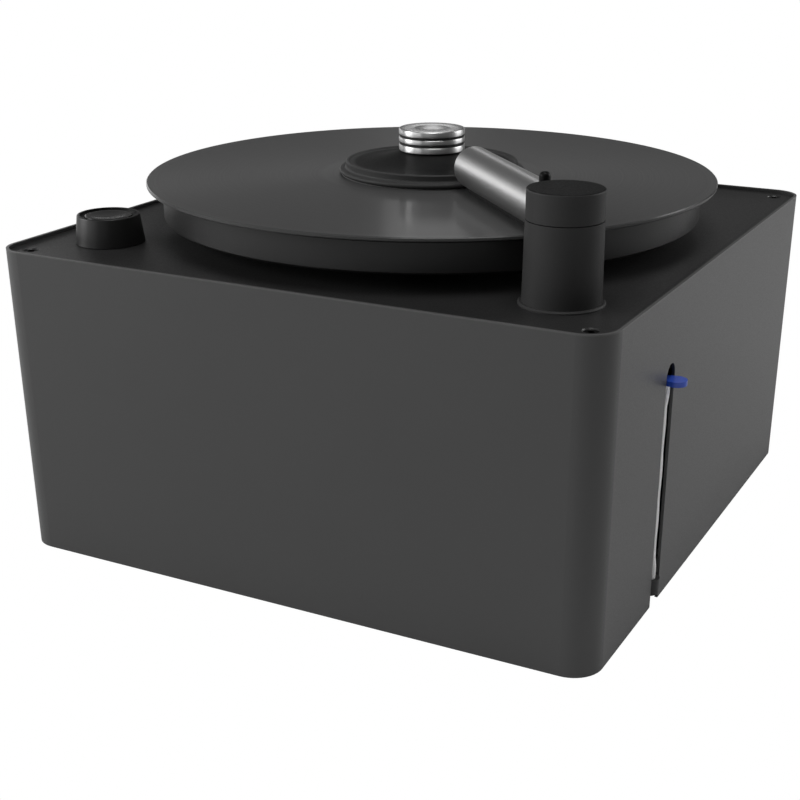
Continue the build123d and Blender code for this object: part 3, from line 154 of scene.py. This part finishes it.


def powderCoat():
    coat = Shader("powderCoat", IOR=1.5)
    cloud = coat.noise(14, 3)
    fine = coat.noise(1900, 2)
    height = coat.axes()[2]
    paint = coat.mix(cloud, tone(54), tone(58))
    # the coat is painted lighter towards its top rim: a painted highlight on the rim's rounded edge
    coat.set(Base_Color=coat.mix(height.ramp(*caseRimHighlight), paint, tone(74)), Roughness=fine.spread(0.36, 0.48))
    coat.bump(fine, 0.35, 0.00004)
    return coat


def satinBlack(name, level, roughness, gloss=0.5, grain=1400, depth=0.00002, top=None):
    black = Shader(name, IOR=1.5, Specular_IOR_Level=gloss)
    fine = black.noise(grain, 2)
    cloud = black.noise(30, 3)
    colour = black.mix(cloud, tone(level - 2), tone(level + 2))
    # top paints the faces above a given height darker: painted shade
    if top:
        start, paintedShadeTone = top
        height = black.axes()[2]
        colour = black.mix(height.ramp(start, start + paintedShadeFade), colour, tone(paintedShadeTone))
    black.set(Base_Color=colour, Roughness=fine.spread(roughness - 0.05, roughness + 0.05))
    black.bump(fine, 0.3, depth)
    return black


def clampBlack():
    black = Shader("clampBlack", IOR=1.5, Specular_IOR_Level=0.16)
    fine = black.noise(1400, 2)
    # the flange is painted lighter than the near-black cone: a painted highlight on its lit bead
    rim = black.turning()[0].ramp(*clampLitFlangeEdge)
    black.set(Base_Color=black.mix(rim, tone(9), tone(52)), Roughness=fine.spread(0.52, 0.62))
    black.bump(fine, 0.3, 0.00002)
    return black


def recordVinyl():
    vinyl = Shader("recordVinyl", IOR=1.5, Specular_IOR_Level=0.08, Anisotropic=0.7,
                   Anisotropic_Rotation=0.25, Coat_Weight=0.18, Coat_Roughness=0.13)
    radius = vinyl.turning()[0]
    grooves = (radius * 9000).math("SINE")
    bands = vinyl.noise(1.0, 3, vinyl.node("ShaderNodeCombineXYZ", {"X": radius * 900}))
    leadOut, leadIn = playedBand
    played = radius.ramp(*leadOut) * radius.ramp(*leadIn)
    label = radius.ramp(*labelEdge)
    paper = vinyl.noise(600, 3)
    ink = vinyl.mix(bands, tone(61), tone(67))
    vinyl.set(Base_Color=vinyl.mix(label, ink, vinyl.mix(paper, tone(150), tone(165))))
    shine = bands.spread(0.34, 0.4) + played * 0.04
    vinyl.set(Roughness=shine.math("MAXIMUM", label * 0.7))
    vinyl.bump(grooves * played, 0.25, 0.00002)
    return vinyl


def turnedMetal(name, level, roughness, grain=0.8, rings=6000, depth=0.000006):
    metal = Shader(name, Metallic=1.0, Anisotropic=grain, Anisotropic_Rotation=0.25)
    radius, z = metal.turning()
    cut = metal.noise(1.0, 2, metal.node("ShaderNodeCombineXYZ", {"X": radius * rings, "Z": z * rings}))
    metal.set(Base_Color=metal.mix(cut, tone(level - 8), tone(level + 8)),
              Roughness=cut.spread(roughness - 0.03, roughness + 0.05, margin=0.2))
    metal.bump(cut, 0.4, depth)
    return metal


def brushedTube(turn):
    metal = Shader("brushedTube", Metallic=1.0)
    streaks = metal.noise(1.0, 4, metal.mapped(scale=(60, 2600, 2600), turn=(0, 0, -turn)))
    metal.set(Base_Color=metal.mix(streaks, tone(176), tone(200)),
              Roughness=streaks.spread(0.3, 0.42, margin=0.2))
    metal.bump(streaks, 0.25, 0.00001)
    return metal


def plainMetal(name, level, roughness, warmth=0.0):
    metal = Shader(name, Metallic=1.0)
    smear = metal.noise(120, 4)
    metal.set(Base_Color=metal.mix(smear, tone(level - 12, warmth), tone(level + 8, warmth)),
              Roughness=smear.spread(roughness - 0.06, roughness + 0.08, margin=0.2))
    return metal


def moulded(name, colour, darker, roughness):
    plastic = Shader(name, IOR=1.46)
    grain = plastic.noise(900, 3)
    plastic.set(Base_Color=plastic.mix(grain, darker, colour),
                Roughness=grain.spread(roughness - 0.05, roughness + 0.05))
    plastic.bump(grain, 0.2, 0.00002)
    return plastic


def softRubber(name, level):
    rubber = Shader(name, IOR=1.45)
    grain = rubber.noise(2200, 3)
    rubber.set(Base_Color=rubber.mix(grain, tone(level - 4), tone(level + 5)), Roughness=0.75)
    rubber.bump(grain, 0.35, 0.00003)
    return rubber


def velvetPile():
    velvet = Shader("velvetPile", Roughness=1.0, Specular_IOR_Level=0.2, Sheen_Weight=0.08,
                    Sheen_Roughness=0.4)
    pile = velvet.noise(3500, 2)
    velvet.set(Base_Color=velvet.mix(pile, tone(8), tone(20)))
    velvet.bump(pile, 0.8, 0.0001)
    return velvet


def clearHose():
    # a translucent hose whose near-white base colour stands in for its bright highlight line: partly real
    # milky plastic, partly painted highlight
    hose = Shader("clearHose", IOR=1.4, Transmission_Weight=0.12, Base_Color=tone(254),
                  Subsurface_Weight=0.5, Subsurface_Scale=0.004, Subsurface_Radius=(1, 1, 1))
    haze = hose.noise(300, 2)
    hose.set(Roughness=haze.spread(0.06, 0.16))
    return hose


def bluePlastic():
    blue = Shader("bluePlastic", Roughness=0.32, IOR=1.46, Subsurface_Weight=0.1,
                  Subsurface_Radius=(0.001, 0.001, 0.003))
    grain = blue.noise(700, 2)
    blue.set(Base_Color=blue.mix(grain, rgb(40, 72, 172), rgb(50, 84, 190)))
    blue.bump(grain, 0.1, 0.00002)
    return blue


armTurn = radians(134.38)
coat = powderCoat()
plateBlack = satinBlack("plateBlack", 33, 0.42, 0.35)
# the arm head's top face is painted near black above 0.2134 m: painted shade standing in for its dim
# reflection
towerBlack = satinBlack("towerBlack", 52, 0.5, 0.1, top=(0.2134, 10))
knobBlack = satinBlack("knobBlack", 25, 0.4, 0.32)
platterBlack = satinBlack("platterBlack", 32, 0.42, 0.35)
glossBlack = satinBlack("glossBlack", 20, 0.18, depth=0.0000005)
screwBlack = satinBlack("screwBlack", 6, 0.45, 0.12)
housingBlack = moulded("housingBlack", tone(38), tone(32), 0.5)
rubberBlack = softRubber("rubberBlack", 34)
zinc = plainMetal("zincSteel", 180, 0.38)
steel = plainMetal("groundSteel", 190, 0.28)
rawAluminium = plainMetal("rawAluminium", 196, 0.4)
brass = plainMetal("brassMetal", 176, 0.3, 0.35)
hoseClear = clearHose()
polished = turnedMetal("polishedKnob", 226, 0.36)
# a darker copy of the polished metal for the knob's top faces: its lower roughness and lack of anisotropy
# are real, its darker colour is painted shade
shadedPolishedTop = turnedMetal("shadedPolishedTop", 180, 0.22, grain=0.0, depth=0.000002)

dress(coat, "casing")
dress(plateBlack, "top_plate")
dress(recordVinyl(), "record_disc")
dress(platterBlack, "platter")
dress(rubberBlack, "platter_mat", "rubber_feet", "clamp_rubber_ring", "clamp_knob_rings", "motor_mount",
      "suction_hose", "air_hose")
dress(clampBlack(), "clamp_plate")
dress(polished, "clamp_knob")
dress(towerBlack, "arm_column", "column_base_ring", "arm_head")
dress(brushedTube(armTurn), "suction_tube", "tube_end_cap")
dress(velvetPile(), "velvet_lips")
dress(screwBlack, "arm_top_screw", "top_plate_screws")
dress(knobBlack, "selector_knob")
dress(glossBlack, "suction_button", "power_rocker")
dress(housingBlack, "drain_elbow", "tank_outlet", "turbine_housing", "exhaust_grille", "mains_inlet",
      "switch_frame", "selector_switch")
dress(hoseClear, "drain_hose")
dress(bluePlastic(), "drain_plug")
dress(zinc, "base_plate", "base_screws", "foot_screws", "platter_screws", "housing_screws", "spacer_screws",
      "motor_plate", "column_nut")
dress(steel, "spindle", "riser_tube", "selector_shaft", "drive_motor", "vacuum_motor", "lift_spring")
dress(rawAluminium, "corner_posts", "bearing_housing", "motor_spacers", "impeller")
dress(brass, "motor_pinion", "bearing_bushes", "lift_collar", "inlet_pins")
dress(moulded("gearPlastic", tone(222, 0.03), tone(212, 0.03), 0.45), "spindle_gear")
# the waste tank and lid are made dark so the gap seen through the drain slot reads black: painted shade
dress(moulded("tankPlastic", tone(36), tone(30), 0.5), "waste_tank", "tank_lid")
dress(moulded("boardGreen", rgb(24, 96, 54), rgb(18, 84, 46), 0.4), "control_board")
dress(moulded("coreVarnish", tone(72), tone(60), 0.45), "transformer")
print("materials on the CAD nodes")


# Pieces with more detail than their CAD nodes

mergeDistance = 0.000002
smoothAngle = radians(38)


def place(name, body, look, owner, *replaced):
    bmesh.ops.remove_doubles(body, verts=body.verts, dist=mergeDistance)
    bmesh.ops.recalc_face_normals(body, faces=body.faces)
    mesh = bpy.data.meshes.new(name)
    body.to_mesh(mesh)
    body.free()
    mesh.polygons.foreach_set("use_smooth", [True] * len(mesh.polygons))
    mesh.set_sharp_from_angle(angle=smoothAngle)
    mesh.materials.append(look.material)
    piece = bpy.data.objects.new(name, mesh)
    bpy.context.scene.collection.objects.link(piece)
    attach(piece, owner)
    if replaced:
        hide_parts(*replaced)
    return piece


def lathe(body, outline, steps=160):
    points = [body.verts.new((radius, 0, height)) for radius, height in outline]
    edges = [body.edges.new(pair) for pair in zip(points, points[1:])]
    bmesh.ops.spin(body, geom=points + edges, cent=(0, 0, 0), axis=(0, 0, 1), angle=2 * pi, steps=steps,
                   use_merge=True)
    bmesh.ops.remove_doubles(body, verts=body.verts, dist=mergeDistance)


def roundRims(body, rims, reach, segments=4, near=0.00002):
    def spot(vert):
        return Vector((vert.co.xy.length, vert.co.z))
    chosen = []
    for edge in body.edges:
        start, end = (spot(vert) for vert in edge.verts)
        if (start - end).length < near / 2 and any((start - Vector(rim)).length < near for rim in rims):
            chosen.append(edge)
    bmesh.ops.bevel(body, geom=chosen, offset=reach, segments=segments, profile=0.5, affect="EDGES",
                    material=-1)


def vertsOf(parts):
    return [part for part in parts if isinstance(part, bmesh.types.BMVert)]


def circle(body, segments, radius):
    verts = bmesh.ops.create_circle(body, segments=segments, radius=radius)["verts"]
    return verts, list({edge for vert in verts for edge in vert.link_edges})


def extrudeRing(body, edges):
    made = bmesh.ops.extrude_edge_only(body, edges=edges)["geom"]
    verts = vertsOf(made)
    fresh = set(verts)
    edges = [part for part in made if isinstance(part, bmesh.types.BMEdge)]
    return verts, [edge for edge in edges if fresh.issuperset(edge.verts)]


def dishLine(radius, depth, level, steps=12):
    ball = (radius ** 2 + depth ** 2) / (2 * depth)
    aways = [radius * (1 - step / steps) for step in range(steps + 1)]
    return [(away, level + ball - depth - (ball ** 2 - away ** 2) ** 0.5) for away in aways]


clampKnob = {"radius": 0.01746, "seat": 0.20185, "rings": (0.0032, 0.0025, 0.003),
             "grooves": (0.00135, 0.0012), "grooveDepth": 0.0016, "edge": 0.0005, "dishRadius": 0.0096,
             "dishDepth": 0.001, "bore": 0.00365, "tipGap": 0.0005}


def makeClampKnob(knob):
    waist = knob["radius"] - knob["grooveDepth"]
    level = knob["seat"]
    outline, rims = [(knob["bore"], level)], []
    for ring, groove in zip(knob["rings"], (*knob["grooves"], None)):
        rims += [(knob["radius"], level), (knob["radius"], level + ring)]
        outline += rims[-2:]
        level += ring
        if groove:
            outline += [(waist, level), (waist, level + groove)]
            level += groove
    outline += dishLine(knob["dishRadius"], knob["dishDepth"], level)
    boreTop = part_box("spindle")[1][2] + knob["tipGap"]
    body = bmesh.new()
    lathe(body, outline)
    lathe(body, [(knob["bore"], knob["seat"]), (knob["bore"], boreTop), (0, boreTop)])
    roundRims(body, rims, knob["edge"])
    piece = place("turnedClampKnob", body, polished, "clamp_knob", "clamp_knob")
    # the top faces take the darker copy of the metal, painted shade
    piece.data.materials.append(shadedPolishedTop.material)
    topRadius = knob["radius"] - knob["edge"]
    for face in piece.data.polygons:
        if face.center.z > level - knob["dishDepth"] and face.center.xy.length < topRadius:
            face.material_index = 1


socketScrew = {"head": 0.0034, "headHeight": 0.0022, "sunk": 0.0006, "socket": 0.0016, "socketDepth": 0.0014,
               "shank": 0.0019, "length": 0.012, "flatCuts": 5, "sides": 36, "corner": 0.1495}


def makeScrews(name, top, look, *replaced, countersunk=False, headDown=False):
    screw = socketScrew
    body = bmesh.new()
    hexEdges = circle(body, 6, screw["socket"] / cos(pi / 6))[1]
    bmesh.ops.subdivide_edges(body, edges=hexEdges, cuts=screw["flatCuts"])
    hexEdges = list(body.edges)
    grown = circle(body, screw["sides"], screw["head"])[1]
    bmesh.ops.bridge_loops(body, edges=hexEdges + grown)
    under = screw["shank"] if countersunk else screw["head"]
    for radius, height in ((under, -screw["headHeight"]), (screw["shank"], -screw["headHeight"]),
                           (screw["shank"], -screw["length"])):
        ring, grown = extrudeRing(body, grown)
        for vert in ring:
            vert.co.xy = vert.co.xy.normalized() * radius
            vert.co.z = height
    bmesh.ops.edgeloop_fill(body, edges=grown)
    bottom, bottomEdges = extrudeRing(body, hexEdges)
    bmesh.ops.translate(body, verts=bottom, vec=(0, 0, -screw["socketDepth"]))
    bmesh.ops.edgeloop_fill(body, edges=bottomEdges)
    if countersunk:
        bmesh.ops.translate(body, verts=body.verts, vec=(0, 0, -screw["sunk"]))
    if headDown:
        bmesh.ops.rotate(body, verts=body.verts, cent=(0, 0, 0), matrix=Matrix.Rotation(pi, 3, "X"))
    first = list(body.verts) + list(body.edges) + list(body.faces)
    reach = screw["corner"]
    places = [(x, y, top) for x in (-reach, reach) for y in (-reach, reach)]
    for spot in places[1:]:
        copied = bmesh.ops.duplicate(body, geom=first)["geom"]
        bmesh.ops.translate(body, verts=vertsOf(copied), vec=spot)
    bmesh.ops.translate(body, verts=vertsOf(first), vec=places[0])
    place(name, body, look, "chassis", *replaced)


knobCentre = (-0.1254, -0.117, 0)

button = {"radius": 0.0119, "low": 0.1733, "high": 0.1771, "round": 0.0005, "dishRadius": 0.0094,
          "dishDepth": 0.0007, "stem": 0.002, "stemLow": 0.1462}


def makeButton(cap):
    outline = [(0, cap["stemLow"]), (cap["stem"], cap["stemLow"]), (cap["stem"], cap["low"]),
               (cap["radius"], cap["low"]), (cap["radius"], cap["high"])]
    body = bmesh.new()
    lathe(body, outline + dishLine(cap["dishRadius"], cap["dishDepth"], cap["high"]))
    roundRims(body, [outline[-1]], cap["round"])
    bmesh.ops.translate(body, verts=body.verts, vec=knobCentre)
    place("dishedButton", body, glossBlack, "button", "suction_button")


selector = {"base": (0.0176, 0.1635), "top": (0.0158, 0.1776), "edge": 0.0005, "lip": 0.0009,
            "recess": 0.0013, "well": (0.0122, 0.171), "hollow": (0.014, 0.1684), "hub": 0.007,
            "shaftBore": 0.0041, "stemBore": 0.0022}


def makeSelector(knob):
    (base, low), (rim, high) = knob["base"], knob["top"]
    (well, floor), (hollow, roof) = knob["well"], knob["hollow"]
    lip, shelf = rim - knob["edge"] - knob["lip"], high - knob["recess"]
    outline = [(knob["stemBore"], roof), (knob["stemBore"], floor), (well, floor), (well, shelf),
               (lip, shelf), (lip, high), (rim, high), (base, low), (hollow, low), (hollow, roof),
               (knob["hub"], roof), (knob["hub"], low), (knob["shaftBore"], low), (knob["shaftBore"], roof),
               (knob["stemBore"], roof)]
    body = bmesh.new()
    lathe(body, outline)
    roundRims(body, [(rim, high)], knob["edge"], 3)
    bmesh.ops.translate(body, verts=body.verts, vec=knobCentre)
    place("recessedSelector", body, knobBlack, "knob", "selector_knob")


drainHose = {"radius": 0.0024, "bore": 0.0014, "barb": 0.0023, "barbWall": 0.0006, "grip": 0.005,
             "ease": 0.008, "lean": -0.0006, "wave": 0.00045, "waves": 4, "rings": 72, "sides": 32}


def makeHose(hose):
    low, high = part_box("drain_hose")
    length = high[2] - low[2]
    outer = (hose["barb"] + hose["barbWall"], hose["radius"], 1)
    inner = (hose["barb"], hose["bore"], -1)
    stations = []
    for gripped, slack, order in (outer, inner):
        row = []
        for step in range(hose["rings"] + 1):
            height = length * step / hose["rings"]
            free = min(1, max(0, (min(height, length - height) - hose["grip"]) / hose["ease"]))
            free = free * free * (3 - 2 * free)
            sway = hose["lean"] + hose["wave"] * sin(2 * pi * hose["waves"] * height / length)
            row.append((gripped + (slack - gripped) * free, sway * free, height))
        stations += row[::order]
    body = bmesh.new()
    around, edges = circle(body, hose["sides"], 1)
    for index, (radius, shift, height) in enumerate(stations + stations[:1]):
        if index:
            around, edges = extrudeRing(body, edges)
        middle = sum(vert.co.y for vert in around) / len(around)
        for vert in around:
            out = Vector((vert.co.x, vert.co.y - middle)).normalized() * radius
            vert.co = (out.x, out.y + shift, height)
    foot = ((low[0] + high[0]) / 2, (low[1] + high[1]) / 2, low[2])
    bmesh.ops.translate(body, verts=body.verts, vec=foot)
    place("stretchedHose", body, hoseClear, "drain_hose", "drain_hose")


plateTop, underHead = 0.1632, 0.0048
makeClampKnob(clampKnob)
makeHose(drainHose)
makeSelector(selector)
makeButton(button)
makeScrews("cornerSocketScrews", plateTop, screwBlack, "top_plate_screws", countersunk=True)
makeScrews("underSocketScrews", underHead, zinc, "base_screws", headDown=True)
print("detail pieces")


# Floor, light and camera

def plainForCamera(tree, lit, seen, output):
    path = tree.nodes.new("ShaderNodeLightPath")
    blend = tree.nodes.new("ShaderNodeMixShader")
    tree.links.new(path.outputs["Is Camera Ray"], blend.inputs["Fac"])
    tree.links.new(lit.outputs[0], blend.inputs[1])
    tree.links.new(seen.outputs[0], blend.inputs[2])
    tree.links.new(blend.outputs[0], output.inputs["Surface"])


def makeFloor(reach=12.0):
    mesh = bpy.data.meshes.new("floor")
    mesh.from_pydata([(-reach, -reach, 0), (reach, -reach, 0), (reach, reach, 0), (-reach, reach, 0)], [],
                     [(0, 1, 2, 3)])
    floor = bpy.data.objects.new("floor", mesh)
    bpy.context.scene.collection.objects.link(floor)
    pale = Shader("floorPale", Roughness=0.9, Base_Color=tone(225))
    white = pale.tree.nodes.new("ShaderNodeEmission")
    white.inputs["Color"].default_value = (1, 1, 1, 1)
    plainForCamera(pale.tree, pale.surface, white, pale.tree.nodes["Material Output"])
    floor.data.materials.append(pale.material)


def makeLight(name, spot, target, size, power):
    data = bpy.data.lights.new(name, "AREA")
    data.shape = "RECTANGLE"
    data.size, data.size_y = size
    data.energy = power
    lamp = bpy.data.objects.new(name, data)
    lamp.location = spot
    lamp.rotation_euler = (Vector(target) - Vector(spot)).to_track_quat("-Z", "Y").to_euler()
    lamp.visible_camera = False
    bpy.context.scene.collection.objects.link(lamp)


def makeWorld(level):
    world = bpy.data.worlds.new("studio")
    bpy.context.scene.world = world
    world.use_nodes = True
    tree = world.node_tree
    soft = tree.nodes["Background"]
    soft.inputs["Color"].default_value = (1, 1, 1, 1)
    soft.inputs["Strength"].default_value = level
    white = tree.nodes.new("ShaderNodeBackground")
    white.inputs["Color"].default_value = (1, 1, 1, 1)
    plainForCamera(tree, soft, white, tree.nodes["World Output"])


view = {"place": (0.342207, -0.677984, 0.33388), "yaw": -0.473, "pitch": -0.422, "roll": -0.001,
        "focal": 1401.9, "centre": (423.56, 506.86), "width": 800, "clipEnd": 50}


def makeCamera():
    yaw, pitch, roll = view["yaw"], view["pitch"], view["roll"]
    width = view["width"]
    across, under = view["centre"]
    forward = Vector((sin(yaw) * cos(pitch), cos(yaw) * cos(pitch), sin(pitch)))
    right = Vector((cos(yaw), -sin(yaw), 0))
    down = forward.cross(right)
    level = right * cos(roll) + down * sin(roll)
    down = down * cos(roll) - right * sin(roll)
    data = bpy.data.cameras.new("camera")
    data.lens = data.sensor_width * view["focal"] / width
    data.shift_x = (width / 2 - across) / width
    data.shift_y = (under - width / 2) / width
    data.clip_end = view["clipEnd"]
    camera = bpy.data.objects.new("camera", data)
    basis = Matrix((level, -down, -forward)).transposed()
    camera.matrix_world = Matrix.Translation(view["place"]) @ basis.to_4x4()
    bpy.context.scene.collection.objects.link(camera)
    bpy.context.scene.camera = camera


makeFloor()
makeWorld(0.06)
makeLight("overhead", (0.2, -0.2, 2.2), (0, 0, 0.15), (1.0, 1.0), 22)
makeLight("left", (-3.0, -1.5, 1.3), (0, 0, 0.1), (1.8, 1.8), 78)
makeLight("frontLeft", (-1.0, -2.0, 0.9), (0, 0, 0.1), (1.2, 1.2), 8)
makeLight("front", (0.45, -2.2, 1.0), (0, 0, 0.1), (0.9, 0.9), 2)
makeLight("rightBack", (2.1, 2.3, 1.3), (0, 0, 0.1), (1.8, 1.8), 47)
makeLight("behind", (-1.0, 2.0, 1.15), (0, 0, 0.15), (2.4, 1.2), 0.6)
makeLight("lowStrip", (-2.1, 0.9, 0.45), (0, 0, 0.2), (1.6, 0.6), 4.5)
makeLight("backdrop", (-1.1, 2.1, 0.3), (0, 0, 0.2), (3.0, 0.2), 0.9)
makeLight("streak", (-1.02, 2.0, 1.3), (0, 0, 0.2), (0.2, 1.3), 0.85)
makeCamera()
bpy.context.scene.view_settings.view_transform = "Standard"
bpy.context.scene.view_settings.look = "None"
print("floor, light and camera")
